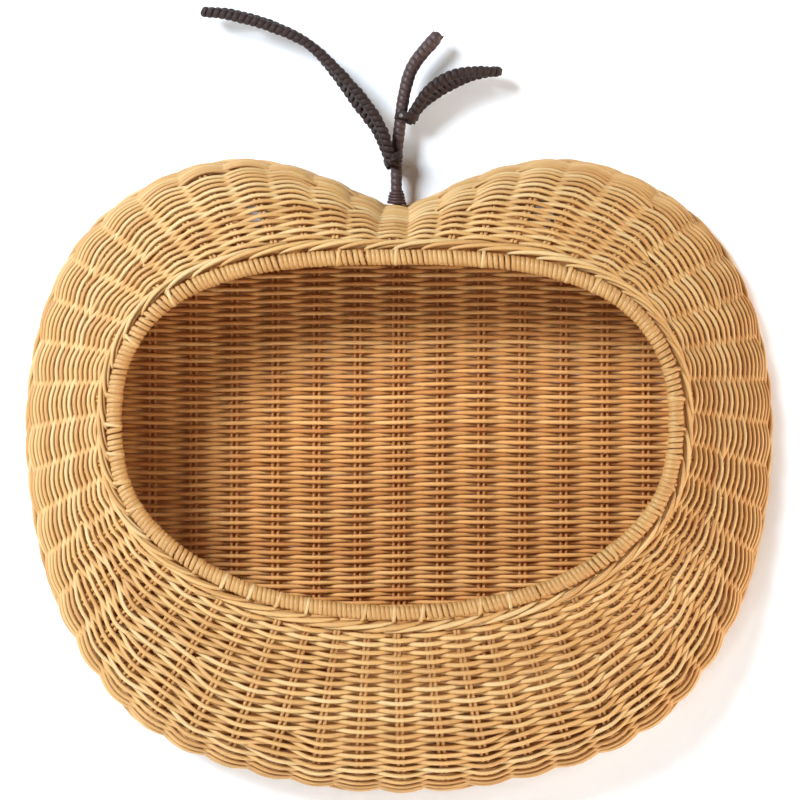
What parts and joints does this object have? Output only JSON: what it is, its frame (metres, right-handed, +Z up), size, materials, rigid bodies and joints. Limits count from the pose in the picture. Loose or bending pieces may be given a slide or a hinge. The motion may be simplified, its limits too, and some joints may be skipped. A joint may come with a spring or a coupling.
{
  "type": "wall basket",
  "caption": "Apple-shaped wicker basket that hangs flat on a wall, with a wide oval mouth in front, a wrapped rim, and a dark wrapped stem with two leaves on top.",
  "frame": {"origin": "on the wall, at the middle of the back panel's flat back face", "axes": "+X to the right for somebody facing the wall, +Y into the wall, +Z up; the basket stands out from the wall towards -Y"},
  "size_m": [0.6102, 0.1103, 0.6362],
  "materials": {
    "natural_cane": "natural peeled cane, light honey colour, satin",
    "dark_cane": "dark brown stained cane binding, satin",
    "steel_wire": "plain drawn steel wire",
    "pin_brass": "pale dull nail head"
  },
  "bodies": {
    "root": {"back_panel_weave": "natural_cane", "back_stakes": "natural_cane", "back_border": "natural_cane", "hanging_eyelet_left": "steel_wire", "hanging_eyelet_right": "steel_wire", "wall_weave": "natural_cane", "wall_stakes_top": "natural_cane", "wall_stakes_right": "natural_cane", "wall_stakes_bottom": "natural_cane", "wall_stakes_left": "natural_cane", "rim_border": "natural_cane", "rim_core": "natural_cane", "rim_wrapping": "natural_cane", "stem_core": "steel_wire", "stem_wrapping": "dark_cane", "stem_collar": "dark_cane", "leaf_pin": "pin_brass", "leaf_left_wire": "steel_wire", "leaf_left_wrapping": "dark_cane", "leaf_left_web": "dark_cane", "leaf_left_lashing": "dark_cane", "leaf_right_wire": "steel_wire", "leaf_right_wrapping": "dark_cane", "leaf_right_web": "dark_cane", "leaf_right_lashing": "dark_cane"}
  },
  "joints": []
}
